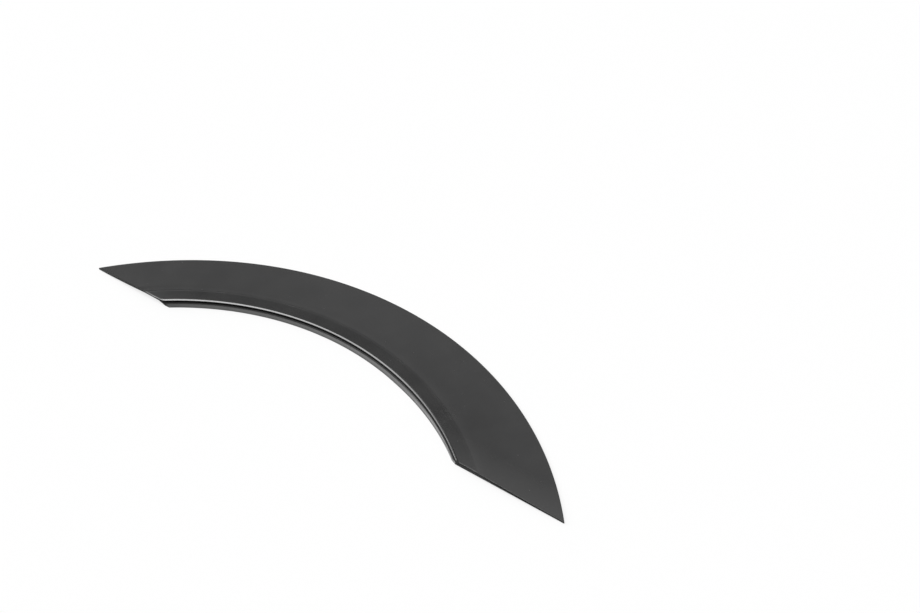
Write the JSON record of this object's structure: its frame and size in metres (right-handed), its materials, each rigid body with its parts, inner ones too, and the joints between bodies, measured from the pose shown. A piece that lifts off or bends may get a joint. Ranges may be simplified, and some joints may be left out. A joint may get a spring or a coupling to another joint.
{
  "type": "wheel arch trim",
  "caption": "Crescent-shaped black plastic moulding that frames a car's wheel opening, with a crowned face, a raised lip round the opening and a flared flange under it.",
  "frame": {"origin": "middle of the trim's box, on the plane that its back lies on", "axes": "+X along the chord from tip to tip, +Y from the cut ends to the crown of the arch, +Z out of the show face"},
  "size_m": [0.7934, 0.189, 0.0094],
  "materials": {
    "grained_plastic": "black moulded plastic, satin, with a fine leather grain"
  },
  "bodies": {
    "root": {"wheel_arch_trim": "grained_plastic"}
  },
  "joints": []
}
